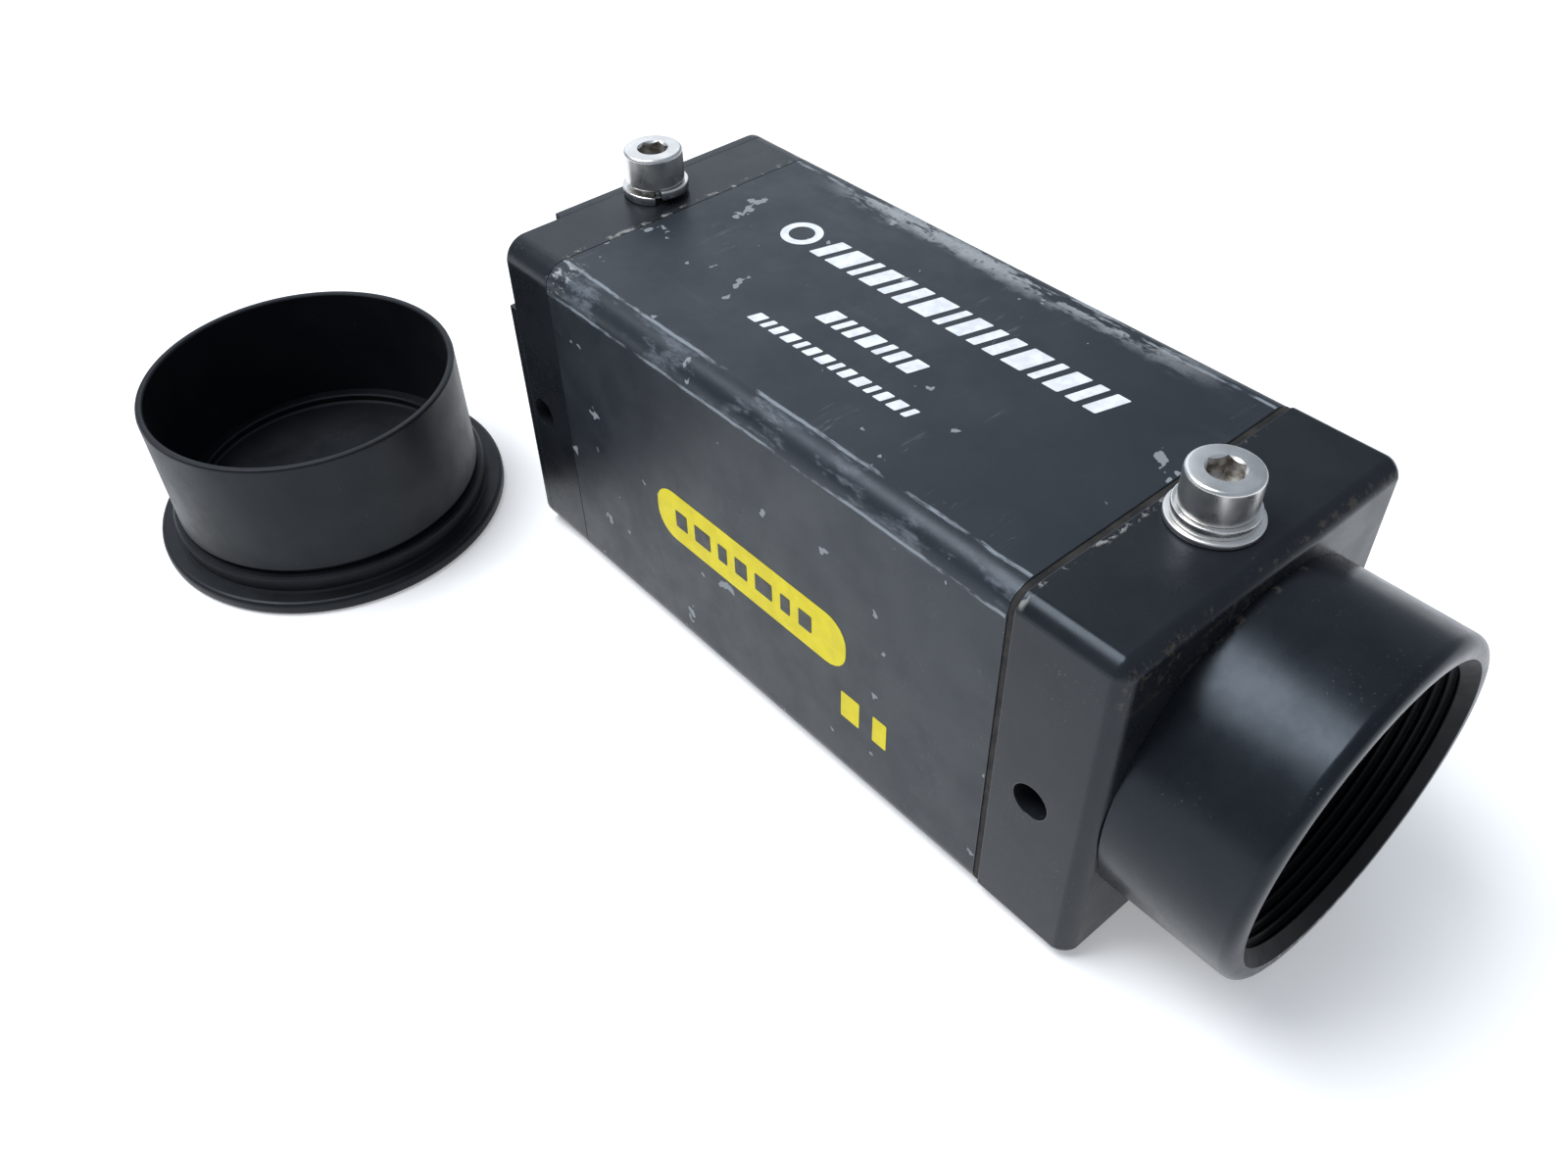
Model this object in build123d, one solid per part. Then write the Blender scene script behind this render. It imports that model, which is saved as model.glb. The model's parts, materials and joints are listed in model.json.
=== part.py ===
from build123d import *
import math
import os

# Compact machine-vision camera with a slip-on dust cap.
# The optical axis runs along Y and the lens side faces -Y. The case stands on z = 0 and the
# origin is the middle of its flat base. "Depth" is measured back from the case's front face.

# case
body_width = 31.6
body_height = 33.6
front_block_length = 9.3
gasket_thickness = 0.5
sleeve_length = 54.6
rear_block_length = 6.4
cover_thickness = 1.1
sleeve_wall = 2.0
long_edge_round = 2.2
inner_corner_round = 0.7
front_chamfer = 1.4
gasket_inset = 0.1
spigot_length = 1.5
spigot_gap = 0.1

# openings inside the two end blocks
package_gap = 1.2
hole_end_wall = 1.1
front_web_depth = 3.5
front_web_thickness = 1.0
rear_web_thickness = 1.8
aperture_radius = 8.5

# lens barrel, a standard 1 inch x 32 thread with a 17.526 flange distance
axis_drop = 0.3
barrel_radius = 14.85
barrel_length = 11.3
barrel_lip_round = 1.0
lens_thread_radius = 12.3
lens_thread_depth = 5.4
thread_lead_in = 1.0
barrel_bore_radius = 11.0
barrel_spigot_wall = 1.5
barrel_spigot_length = 3.4
flange_distance = 17.526
seat_gap = 0.03

# filter and image sensor
filter_gap = 0.5
filter_thickness = 1.0
retainer_thickness = 0.8
retainer_hole_radius = 9.2
sensor_package_size = 18.0
sensor_package_thickness = 2.6
die_width = 9.0
die_height = 7.5
die_thickness = 0.5
die_margin = 1.4
die_recess = 0.6
cover_glass_lap = 1.6
cover_glass_thickness = 0.7
lead_radius = 0.25
lead_pitch = 2.0
leads_per_side = 7
lead_row_offset = 7.5

# board stack
board_thickness = 1.6
board_edge_gap = 0.5
sensor_spacer_length = 12.0
connector_board_stand_off = 5.2
buffer_thickness = 1.0
spacer_radius = 1.9
spacer_bore_gap = 0.12
header_side_gap = 1.7
header_height = 3.4
header_edge_gap = 2.2
processor_size = 14.0
processor_thickness = 1.4
processor_drop = 2.0
memory_width = 8.0
memory_height = 11.0
memory_thickness = 1.2
memory_spacing = 10.5
inductor_radius = 4.0
inductor_height = 5.0
inductor_offset = 5.0
capacitor_radius = 2.5
capacitor_height = 7.5
capacitor_count = 3
capacitor_pitch = 6.5
capacitor_offset = 5.5
capacitor_drop = 3.0

# long case screws, one near each corner
case_screw_radius = 1.0
case_screw_head_radius = 1.9
case_screw_inset = 2.2
case_screw_tip_depth = 4.5
case_screw_socket = 1.3
case_screw_socket_depth = 0.7
case_screw_gap = 0.03
notch_side_margin = 0.2
notch_low_margin = 1.0

# mounting holes and the two M3 screws left in the top ones
mount_screw_radius = 1.5
mount_screw_gap = 0.05
front_hole_depth_station = 5.6
rear_hole_margin = 1.9
side_hole_drop = 0.9
screw_length = 6.0
screw_head_radius = 2.75
screw_head_height = 3.0
screw_head_round = 0.3
screw_tip_chamfer = 0.3
socket_size = 2.5
socket_depth = 1.6
flat_washer_radius = 3.5
flat_washer_thickness = 0.5
lock_washer_radius = 3.1
lock_washer_thickness = 0.8
washer_bore_gap = 0.1
lock_washer_slit = 0.5
lock_washer_slit_lean = 20
front_slit_angle = 70
rear_slit_angle = 232
rear_washer_rise = 0.5

# rear receptacle
shell_radius = 4.9
shell_wall = 0.7
shell_flange_width = 1.3
shell_flange_thickness = 1.2
shell_reach = 4.6
shell_inside_length = 11.0
insert_recess = 7.5
pin_radius = 0.3
pin_gap = 0.02
pin_circle_radius = 2.7
outer_pin_count = 8
inner_pin_circle_radius = 1.1
inner_pin_count = 4
pin_reach = 3.0
nut_wall = 0.6
nut_thickness = 2.0
seal_thickness = 0.4
panel_gap = 0.03

# dust cap, standing on its closed end beside the camera
cap_clearance = 0.15
cap_wall = 0.78
cap_height = 16.6
cap_flange_width = 2.42
cap_flange_thickness = 1.5
cap_flange_round = 0.5
cap_ring_width = 0.62
cap_ring_top = 3.4
cap_groove_depth = 0.35
cap_groove_width = 0.5
cap_floor = 3.0
cap_ledge_width = 1.2
cap_ledge_height = 1.0
cap_side_offset = 15.6
cap_rear_offset = 18.5

# stations worked out from the values above
gasket_back = front_block_length + gasket_thickness
sleeve_back = gasket_back + sleeve_length
block_back = sleeve_back + rear_block_length
case_length = block_back + cover_thickness
mid_height = body_height / 2
axis_height = mid_height - axis_drop
side_hole_height = axis_height - side_hole_drop
spigot_width = body_width - 2 * (sleeve_wall + spigot_gap)
spigot_height = body_height - 2 * (sleeve_wall + spigot_gap)
front_spigot_back = gasket_back + spigot_length
rear_spigot_front = sleeve_back - spigot_length
front_web_back = front_web_depth + front_web_thickness
rear_web_front = block_back - rear_web_thickness
sensor_depth = flange_distance - barrel_length
pocket_size = sensor_package_size + 2 * package_gap
side_hole_depth = (body_width - pocket_size) / 2 - hole_end_wall
base_hole_depth = axis_height - pocket_size / 2 - hole_end_wall
top_hole_depth = body_height - axis_height - pocket_size / 2 - hole_end_wall
barrel_spigot_radius = barrel_bore_radius + barrel_spigot_wall
sensor_cavity_width = die_width + 2 * die_margin
sensor_cavity_height = die_height + 2 * die_margin
shell_front = case_length - shell_inside_length
insert_back = case_length + shell_reach - insert_recess
rear_hole_depth_station = block_back - rear_hole_margin
case_screw_edge = sleeve_wall + case_screw_inset
screw_x = body_width / 2 - case_screw_edge
screw_heights = (case_screw_edge, body_height - case_screw_edge)
screw_corners = [(x, z) for x in (-screw_x, screw_x) for z in screw_heights]
notch_width = case_screw_edge + case_screw_head_radius + notch_side_margin
notch_height = case_screw_edge + case_screw_head_radius + notch_low_margin

sensor_board_front = front_spigot_back
sensor_board_back = sensor_board_front + board_thickness
processor_board_front = sensor_board_back + sensor_spacer_length
processor_board_back = processor_board_front + board_thickness
connector_board_back = rear_spigot_front - connector_board_stand_off
connector_board_front = connector_board_back - board_thickness
power_board_front = (processor_board_back + connector_board_front - board_thickness) / 2
power_board_back = power_board_front + board_thickness
buffer_front = rear_spigot_front - buffer_thickness
board_width = body_width - 2 * (sleeve_wall + board_edge_gap)
board_height = body_height - 2 * (sleeve_wall + board_edge_gap)
header_width = 2 * (screw_x - spacer_radius - header_side_gap)
header_height_place = mid_height + board_height / 2 - header_edge_gap - header_height / 2


def at_depth(depth):
    """The y of a depth behind the case's front face."""
    return depth - case_length / 2


def section_at(depth):
    """A drawing plane across the camera, its axes along X and Z."""
    return Plane(origin=(0, at_depth(depth), 0), x_dir=(1, 0, 0), z_dir=(0, -1, 0))


def prism(outline, front, back):
    """An outline drawn across the camera, carried from one depth to another."""
    return extrude(section_at(front) * outline, amount=back - front, dir=(0, 1, 0))


def block(width, height, front, back, centre=(0, mid_height), corner=0):
    if corner:
        return prism(Pos(*centre) * RectangleRounded(width, height, corner), front, back)
    return prism(Pos(*centre) * Rectangle(width, height), front, back)


def rod(radius, front, back, centre=(0, axis_height)):
    return prism(Pos(*centre) * Circle(radius), front, back)


def at_corners(make):
    """One copy of a piece at each of the four case screws."""
    return Compound(children=[make(corner) for corner in screw_corners])


def drilling(depth):
    """A blind hole for an M3 screw: its mouth at the origin, running down."""
    hole_radius = mount_screw_radius + mount_screw_gap
    return Cylinder(hole_radius, depth, align=(Align.CENTER, Align.CENTER, Align.MAX))


def mounting_holes(station):
    """The tapped holes of one end block: on top, in the base and in each side."""
    y = at_depth(station)
    return [
        Pos(0, y, body_height) * drilling(top_hole_depth),
        Pos(0, y, 0) * Rot(180, 0, 0) * drilling(base_hole_depth),
        Pos(-body_width / 2, y, side_hole_height) * Rot(0, -90, 0) * drilling(side_hole_depth),
        Pos(body_width / 2, y, side_hole_height) * Rot(0, 90, 0) * drilling(side_hole_depth),
    ]


def make_front_block():
    body = block(body_width, body_height, 0, front_block_length)
    face_edges = body.faces().sort_by(Axis.Y)[0].edges()
    body = chamfer(body.edges().filter_by(Axis.Y) + face_edges, front_chamfer)
    body += block(spigot_width, spigot_height, front_block_length, front_spigot_back,
                  corner=inner_corner_round)
    body -= rod(barrel_spigot_radius + seat_gap, 0, front_web_depth)
    body -= rod(aperture_radius, 0, front_web_back)
    body -= block(pocket_size, pocket_size, front_web_back, front_spigot_back, (0, axis_height))
    for hole in mounting_holes(front_hole_depth_station):
        body -= hole
    for corner in screw_corners:
        body -= rod(case_screw_radius + case_screw_gap, case_screw_tip_depth, front_spigot_back, corner)
    return body


def make_lens_barrel():
    body = rod(barrel_radius, -barrel_length, 0)
    lip = body.faces().sort_by(Axis.Y)[0].edges()
    body = fillet(lip, barrel_lip_round)
    body += rod(barrel_spigot_radius, 0, barrel_spigot_length)
    thread_back = lens_thread_depth - barrel_length
    body -= rod(lens_thread_radius, -barrel_length, thread_back)
    body -= rod(barrel_bore_radius, thread_back, barrel_spigot_length)
    mouth = body.edges().filter_by(GeomType.CIRCLE).group_by(Axis.Y)[0].sort_by(SortBy.RADIUS)[0]
    return chamfer(mouth, thread_lead_in)


def make_front_gasket():
    width = body_width - 2 * gasket_inset
    height = body_height - 2 * gasket_inset
    body = block(width, height, front_block_length, gasket_back, corner=long_edge_round)
    return body - block(spigot_width + 2 * spigot_gap, spigot_height + 2 * spigot_gap,
                        front_block_length, gasket_back, corner=inner_corner_round)


def make_body_sleeve():
    body = block(body_width, body_height, gasket_back, sleeve_back, corner=long_edge_round)
    return body - block(body_width - 2 * sleeve_wall, body_height - 2 * sleeve_wall,
                        gasket_back, sleeve_back, corner=inner_corner_round)


def notch():
    """The corner that the rear cover leaves open, upper and on the -X side."""
    centre = (notch_width / 2 - body_width / 2, body_height - notch_height / 2)
    return block(notch_width, notch_height, block_back, case_length, centre)


def is_notched(corner):
    return corner[0] < 0 and corner[1] > mid_height


def screw_head_seat(corner):
    return case_length - (cover_thickness if is_notched(corner) else 0)


def head_cone(corner, gap):
    """Countersunk head of a case screw, with its wide end flush at the seat."""
    back = screw_head_seat(corner)
    height = case_screw_head_radius - case_screw_radius
    cone = Cone(case_screw_radius + gap, case_screw_head_radius + gap, height,
                align=(Align.CENTER, Align.CENTER, Align.MAX))
    return Pos(corner[0], at_depth(back), corner[1]) * Rot(-90, 0, 0) * cone


def make_rear_block():
    body = block(body_width, body_height, sleeve_back, block_back, corner=long_edge_round)
    body += block(spigot_width, spigot_height, rear_spigot_front, sleeve_back, corner=inner_corner_round)
    body -= block(pocket_size, pocket_size, rear_spigot_front, rear_web_front, (0, axis_height))
    body -= rod(shell_radius + panel_gap, rear_web_front, block_back)
    for hole in mounting_holes(rear_hole_depth_station):
        body -= hole
    for corner in screw_corners:
        body -= rod(case_screw_radius + case_screw_gap, rear_spigot_front, block_back, corner)
        if is_notched(corner):
            body -= head_cone(corner, case_screw_gap)
    return body


def make_rear_cover():
    body = block(body_width, body_height, block_back, case_length, corner=long_edge_round)
    body -= notch()
    body -= rod(shell_radius + panel_gap, block_back, case_length)
    for corner in screw_corners:
        if not is_notched(corner):
            body -= rod(case_screw_radius + case_screw_gap, block_back, case_length, corner)
            body -= head_cone(corner, case_screw_gap)
    return body


def make_case_screw(corner):
    head_height = case_screw_head_radius - case_screw_radius
    head_back = screw_head_seat(corner)
    body = rod(case_screw_radius, case_screw_tip_depth, head_back - head_height, corner)
    body += head_cone(corner, 0)
    socket = Pos(*corner) * RegularPolygon(case_screw_socket / 2, 6, major_radius=False)
    return body - prism(socket, head_back - case_screw_socket_depth, head_back)


def make_filter_glass():
    return rod(barrel_bore_radius - filter_gap, front_web_depth - filter_thickness, front_web_depth)


def make_filter_retainer():
    back = front_web_depth - filter_thickness
    body = rod(barrel_bore_radius - seat_gap, back - retainer_thickness, back)
    return body - rod(retainer_hole_radius, back - retainer_thickness, back)


def make_sensor_package():
    front = sensor_depth - die_recess
    centre = (0, axis_height)
    body = block(sensor_package_size, sensor_package_size, front, front + sensor_package_thickness, centre)
    cavity = block(sensor_cavity_width, sensor_cavity_height, front, sensor_depth + die_thickness, centre)
    return body - cavity


def make_sensor_die():
    return block(die_width, die_height, sensor_depth, sensor_depth + die_thickness, (0, axis_height))


def make_sensor_cover_glass():
    back = sensor_depth - die_recess
    width = sensor_cavity_width + 2 * cover_glass_lap
    height = sensor_cavity_height + 2 * cover_glass_lap
    return block(width, height, back - cover_glass_thickness, back, (0, axis_height))


def make_sensor_leads():
    """Two rows of leads that carry the sensor package ahead of its board."""
    front = sensor_depth - die_recess + sensor_package_thickness
    rows = []
    for side in (-lead_row_offset, lead_row_offset):
        for i in range(leads_per_side):
            z = axis_height + (i - (leads_per_side - 1) / 2) * lead_pitch
            rows.append(rod(lead_radius, front, sensor_board_front, (side, z)))
    return Compound(children=rows)


def make_board(front):
    body = block(board_width, board_height, front, front + board_thickness, corner=inner_corner_round)
    for corner in screw_corners:
        body -= rod(case_screw_radius + spacer_bore_gap, front, front + board_thickness, corner)
    return body


def tube_between(front, back, corner):
    return rod(spacer_radius, front, back, corner) - rod(
        case_screw_radius + spacer_bore_gap, front, back, corner)


def make_board_spacers():
    stretches = [
        (sensor_board_back, processor_board_front),
        (processor_board_back, power_board_front),
        (power_board_back, connector_board_front),
        (connector_board_back, buffer_front),
    ]
    tubes = [tube_between(front, back, corner) for front, back in stretches for corner in screw_corners]
    return Compound(children=tubes)


def make_stack_buffers():
    return at_corners(lambda corner: tube_between(buffer_front, rear_spigot_front, corner))


def make_board_headers():
    """Stacking connectors along the upper edge, one in each gap between two boards."""
    gaps = [
        (sensor_board_back, processor_board_front),
        (processor_board_back, power_board_front),
        (power_board_back, connector_board_front),
    ]
    return Compound(children=[block(header_width, header_height, front, back, (0, header_height_place))
                              for front, back in gaps])


def make_processor_chip():
    return block(processor_size, processor_size, processor_board_front - processor_thickness,
                 processor_board_front, (0, axis_height - processor_drop))


def make_memory_chips():
    chips = []
    for x in (-memory_spacing / 2, memory_spacing / 2):
        chips.append(block(memory_width, memory_height, processor_board_back,
                           processor_board_back + memory_thickness, (x, axis_height)))
    return Compound(children=chips)


def make_power_inductor():
    centre = (-inductor_offset, axis_height)
    return rod(inductor_radius, power_board_back, power_board_back + inductor_height, centre)


def make_filter_capacitors():
    cans = []
    for i in range(capacitor_count):
        z = axis_height - capacitor_drop + (i - (capacitor_count - 1) / 2) * capacitor_pitch
        centre = (capacitor_offset, z)
        cans.append(rod(capacitor_radius, power_board_back, power_board_back + capacitor_height, centre))
    return Compound(children=cans)


def make_connector_shell():
    """Tubular receptacle: its flange bears on the rear cover and a nut pulls it from inside."""
    flange_front = case_length + seal_thickness
    body = rod(shell_radius, shell_front, case_length + shell_reach)
    body += rod(shell_radius + shell_flange_width, flange_front, flange_front + shell_flange_thickness)
    return body - rod(shell_radius - shell_wall, shell_front, case_length + shell_reach)


def pin_places():
    rings = [(pin_circle_radius, outer_pin_count), (inner_pin_circle_radius, inner_pin_count)]
    places = [(radius, 2 * math.pi * i / count) for radius, count in rings for i in range(count)]
    return [(radius * math.cos(turn), axis_height + radius * math.sin(turn)) for radius, turn in places]


def make_connector_insert():
    body = rod(shell_radius - shell_wall - panel_gap, shell_front, insert_back)
    for place in pin_places():
        body -= rod(pin_radius + pin_gap, shell_front, insert_back, place)
    return body


def make_connector_pins():
    pins = [rod(pin_radius, connector_board_back, insert_back + pin_reach, place) for place in pin_places()]
    return Compound(children=pins)


def make_connector_nut():
    outline = Pos(0, axis_height) * RegularPolygon(shell_radius + nut_wall, 6, major_radius=False)
    body = prism(outline, rear_web_front - nut_thickness, rear_web_front)
    return body - rod(shell_radius + panel_gap, rear_web_front - nut_thickness, rear_web_front)


def make_connector_seal():
    body = rod(shell_radius + shell_flange_width, case_length, case_length + seal_thickness)
    return body - rod(shell_radius + panel_gap, case_length, case_length + seal_thickness)


def make_mounting_screw(station, seat):
    """M3 socket-head screw, upright, with its head bearing at the given height above the case."""
    under_head = body_height + seat
    head = Cylinder(screw_head_radius, screw_head_height, align=(Align.CENTER, Align.CENTER, Align.MIN))
    head = fillet(head.faces().sort_by(Axis.Z)[-1].edges(), screw_head_round)
    shank = Cylinder(mount_screw_radius, screw_length, align=(Align.CENTER, Align.CENTER, Align.MAX))
    shank = chamfer(shank.faces().sort_by(Axis.Z)[0].edges(), screw_tip_chamfer)
    socket = extrude(RegularPolygon(socket_size / 2, 6, major_radius=False), -socket_depth)
    return Pos(0, at_depth(station), under_head) * (head + shank - Pos(0, 0, screw_head_height) * socket)


def ring(outer, inner, thickness):
    align = (Align.CENTER, Align.CENTER, Align.MIN)
    return Cylinder(outer, thickness, align=align) - Cylinder(inner, thickness, align=align)


def make_flat_washer(station):
    washer = ring(flat_washer_radius, mount_screw_radius + washer_bore_gap, flat_washer_thickness)
    return Pos(0, at_depth(station), body_height) * washer


def make_pressed_lock_washer(station, seat, angle):
    """Split washer squeezed flat, its slit leaning across the ring."""
    washer = ring(lock_washer_radius, mount_screw_radius + washer_bore_gap, lock_washer_thickness)
    slit = Box(lock_washer_radius, lock_washer_slit, 3 * lock_washer_thickness,
               align=(Align.MIN, Align.CENTER, Align.CENTER))
    slit = Rot(0, 0, angle) * Pos(0, 0, lock_washer_thickness / 2) * Rot(lock_washer_slit_lean, 0, 0) * slit
    return Pos(0, at_depth(station), body_height + seat) * (washer - slit)


def make_free_lock_washer(station, angle):
    """Split washer in its free state, one left-hand turn of a coil with its two ends at different heights."""
    inner = mount_screw_radius + washer_bore_gap
    width = lock_washer_radius - inner
    middle = (lock_washer_radius + inner) / 2
    turn = 1 - lock_washer_slit / (2 * math.pi * middle)
    path = Helix(pitch=rear_washer_rise / turn, height=rear_washer_rise, radius=middle, lefthand=True)
    start = Plane(origin=path @ 0, x_dir=(1, 0, 0), z_dir=(0, 1, 0))
    coil = sweep(start * Rectangle(width, lock_washer_thickness), path=path, is_frenet=True)
    lift = body_height + lock_washer_thickness / 2
    return Pos(0, at_depth(station), lift) * Rot(0, 0, angle) * coil


def make_dust_cap():
    """Cup turned about its own upright axis: flange, stepped ring, groove, thin tube, inner ledge."""
    inner = barrel_radius + cap_clearance
    outer = inner + cap_wall
    flange = outer + cap_flange_width
    step = outer + cap_ring_width
    groove = outer - cap_groove_depth
    ledge = inner - cap_ledge_width
    ledge_top = cap_floor + cap_ledge_height
    with BuildPart() as cup:
        with BuildSketch(Plane.XZ):
            with BuildLine():
                Polyline(
                    (0, 0), (flange, 0), (flange, cap_flange_thickness),
                    (step, cap_flange_thickness), (step, cap_ring_top),
                    (groove, cap_ring_top), (groove, cap_ring_top + cap_groove_width),
                    (outer, cap_ring_top + cap_groove_width), (outer, cap_height), (inner, cap_height),
                    (inner, ledge_top), (ledge, ledge_top), (ledge, cap_floor), (0, cap_floor), (0, 0),
                )
            make_face()
        revolve(axis=Axis.Z)
        rim = cup.edges().filter_by(GeomType.CIRCLE).group_by(SortBy.RADIUS)[-1]
        fillet(rim, cap_flange_round)
    return Pos(-body_width / 2 - cap_side_offset, at_depth(case_length + cap_rear_offset), 0) * cup.part


nodes = {
    "front_block": make_front_block(),
    "lens_barrel": make_lens_barrel(),
    "front_gasket": make_front_gasket(),
    "body_sleeve": make_body_sleeve(),
    "rear_block": make_rear_block(),
    "rear_cover": make_rear_cover(),
    "case_screws": at_corners(make_case_screw),
    "filter_glass": make_filter_glass(),
    "filter_retainer": make_filter_retainer(),
    "sensor_package": make_sensor_package(),
    "sensor_die": make_sensor_die(),
    "sensor_cover_glass": make_sensor_cover_glass(),
    "sensor_leads": make_sensor_leads(),
    "sensor_board": make_board(sensor_board_front),
    "processor_board": make_board(processor_board_front),
    "power_board": make_board(power_board_front),
    "connector_board": make_board(connector_board_front),
    "board_spacers": make_board_spacers(),
    "stack_buffers": make_stack_buffers(),
    "board_headers": make_board_headers(),
    "processor_chip": make_processor_chip(),
    "memory_chips": make_memory_chips(),
    "power_inductor": make_power_inductor(),
    "filter_capacitors": make_filter_capacitors(),
    "connector_shell": make_connector_shell(),
    "connector_insert": make_connector_insert(),
    "connector_pins": make_connector_pins(),
    "connector_nut": make_connector_nut(),
    "connector_seal": make_connector_seal(),
    "front_flat_washer": make_flat_washer(front_hole_depth_station),
    "front_lock_washer": make_pressed_lock_washer(
        front_hole_depth_station, flat_washer_thickness, front_slit_angle),
    "front_screw": make_mounting_screw(
        front_hole_depth_station, flat_washer_thickness + lock_washer_thickness),
    "rear_lock_washer": make_free_lock_washer(rear_hole_depth_station, rear_slit_angle),
    "rear_screw": make_mounting_screw(
        rear_hole_depth_station, lock_washer_thickness + rear_washer_rise),
    "dust_cap": make_dust_cap(),
}

os.makedirs("parts", exist_ok=True)
for name, shape in nodes.items():
    export_step(shape, f"parts/{name}.step")
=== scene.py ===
import itertools
import json
import math

import bmesh
import bpy
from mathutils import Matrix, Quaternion, Vector

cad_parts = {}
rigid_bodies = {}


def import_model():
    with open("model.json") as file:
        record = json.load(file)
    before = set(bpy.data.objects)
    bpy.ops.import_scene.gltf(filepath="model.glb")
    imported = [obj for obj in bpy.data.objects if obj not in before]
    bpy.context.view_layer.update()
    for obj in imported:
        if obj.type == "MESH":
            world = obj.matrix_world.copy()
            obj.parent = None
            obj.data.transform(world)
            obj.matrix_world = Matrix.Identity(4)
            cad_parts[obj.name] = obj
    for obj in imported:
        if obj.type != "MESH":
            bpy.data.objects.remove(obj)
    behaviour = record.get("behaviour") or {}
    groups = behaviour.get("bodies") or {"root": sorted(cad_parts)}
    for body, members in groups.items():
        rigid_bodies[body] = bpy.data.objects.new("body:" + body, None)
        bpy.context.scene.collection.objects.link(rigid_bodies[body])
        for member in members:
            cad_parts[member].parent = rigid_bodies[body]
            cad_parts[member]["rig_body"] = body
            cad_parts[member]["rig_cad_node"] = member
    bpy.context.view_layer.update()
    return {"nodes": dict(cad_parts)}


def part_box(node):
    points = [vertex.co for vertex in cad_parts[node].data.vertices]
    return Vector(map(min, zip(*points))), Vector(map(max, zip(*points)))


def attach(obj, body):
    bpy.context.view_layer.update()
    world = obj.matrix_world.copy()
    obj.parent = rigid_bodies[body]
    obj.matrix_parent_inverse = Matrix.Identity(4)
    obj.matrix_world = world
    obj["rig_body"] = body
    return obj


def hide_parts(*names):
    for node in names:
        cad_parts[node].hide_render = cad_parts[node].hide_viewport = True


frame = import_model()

mm = 0.001
hair = 1e-6    # how near two points count as one, in metres


# picking, editing and modifiers

def pickOnly(piece=None):
    if bpy.context.object and bpy.context.object.mode == "EDIT":
        bpy.ops.object.mode_set(mode="OBJECT")
    bpy.ops.object.select_all(action="DESELECT")
    if piece:
        piece.select_set(True)
        bpy.context.view_layer.objects.active = piece


def openForEditing(piece, kind="EDGE"):
    pickOnly(piece)
    bpy.ops.object.mode_set(mode="EDIT")
    bpy.ops.mesh.select_mode(type=kind)
    bpy.ops.mesh.select_all(action="DESELECT")


def choose(piece, kind, test):
    mesh = bmesh.from_edit_mesh(piece.data)
    for part in getattr(mesh, kind):
        if test(part):
            part.select_set(True)
    bmesh.update_edit_mesh(piece.data)


def applyModifier(piece, kind, **settings):
    pickOnly(piece)
    bpy.ops.object.modifier_add(type=kind)
    modifier = piece.modifiers[-1]
    for name, value in settings.items():
        setattr(modifier, name, value)
    bpy.ops.object.modifier_apply(modifier=modifier.name)


def mergeDoubles(piece, recalculate=True):
    openForEditing(piece)
    bpy.ops.mesh.select_all(action="SELECT")
    bpy.ops.mesh.remove_doubles(threshold=hair)
    if recalculate:
        bpy.ops.mesh.normals_make_consistent(inside=False)
    bpy.ops.object.mode_set(mode="OBJECT")


def paintFaces(piece, slot, test):
    openForEditing(piece, "FACE")
    choose(piece, "faces", lambda face: test(face.calc_center_median()))
    piece.active_material_index = slot
    bpy.ops.object.material_slot_assign()
    bpy.ops.object.mode_set(mode="OBJECT")


def softenEdges(piece, width, steps=2, angle=30, rubbed=-1):
    applyModifier(piece, "BEVEL", width=width * mm, segments=steps, limit_method="ANGLE",
                  angle_limit=math.radians(angle), material=rubbed, use_clamp_overlap=True)


def smoothShading(piece, angle=35):
    pickOnly(piece)
    bpy.ops.object.shade_smooth_by_angle(angle=math.radians(angle))
    applyModifier(piece, "WEIGHTED_NORMAL", keep_sharp=True)


def cutAway(piece, cutter):
    applyModifier(piece, "BOOLEAN", operation="DIFFERENCE", object=cutter, solver="EXACT")
    bpy.data.objects.remove(cutter)


# starting shapes, in metres

def newPiece(name):
    piece = bpy.context.object
    piece.name = name
    piece.data.name = name
    bpy.ops.object.transform_apply(location=True, rotation=True, scale=True)
    return piece


def boxPiece(name, low, high):
    pickOnly()
    bpy.ops.mesh.primitive_cube_add(size=1, location=(low + high) / 2, scale=high - low)
    return newPiece(name)


def rodPiece(name, radius, start, end, sides=64):
    pickOnly()
    line = end - start
    bpy.ops.mesh.primitive_cylinder_add(vertices=sides, radius=radius, depth=line.length,
                                        location=(start + end) / 2,
                                        rotation=line.to_track_quat("Z", "Y").to_euler())
    return newPiece(name)


def isAlong(edge, axis):
    line = edge.verts[1].co - edge.verts[0].co
    return abs(line[axis]) > 0.99 * line.length


def lies(part, axis, value):
    return all(abs(corner.co[axis] - value) < hair for corner in part.verts)


# an outline of (radius, place along the axis) in mm, spun about the axis through centre

def turnedPiece(name, centre, outline, axis="Z", steps=96):
    points = []
    for radius, along in outline:
        offset = (radius, 0, along) if axis == "Z" else (0, along, radius)
        points.append(Vector(centre) + Vector(offset) * mm)
    pickOnly()
    bpy.ops.mesh.primitive_plane_add(size=mm, location=points[0])
    piece = newPiece(name)
    openForEditing(piece, "VERT")
    bpy.ops.mesh.select_all(action="SELECT")
    bpy.ops.mesh.merge(type="CENTER")
    for last, point in zip(points, points[1:]):
        bpy.ops.mesh.extrude_vertices_move(TRANSFORM_OT_translate={"value": point - last})
    bpy.ops.mesh.select_all(action="SELECT")
    bpy.ops.mesh.spin(steps=steps, angle=math.tau, center=centre,
                      axis=(0, 0, 1) if axis == "Z" else (0, 1, 0))
    mergeDoubles(piece)
    return piece


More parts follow.
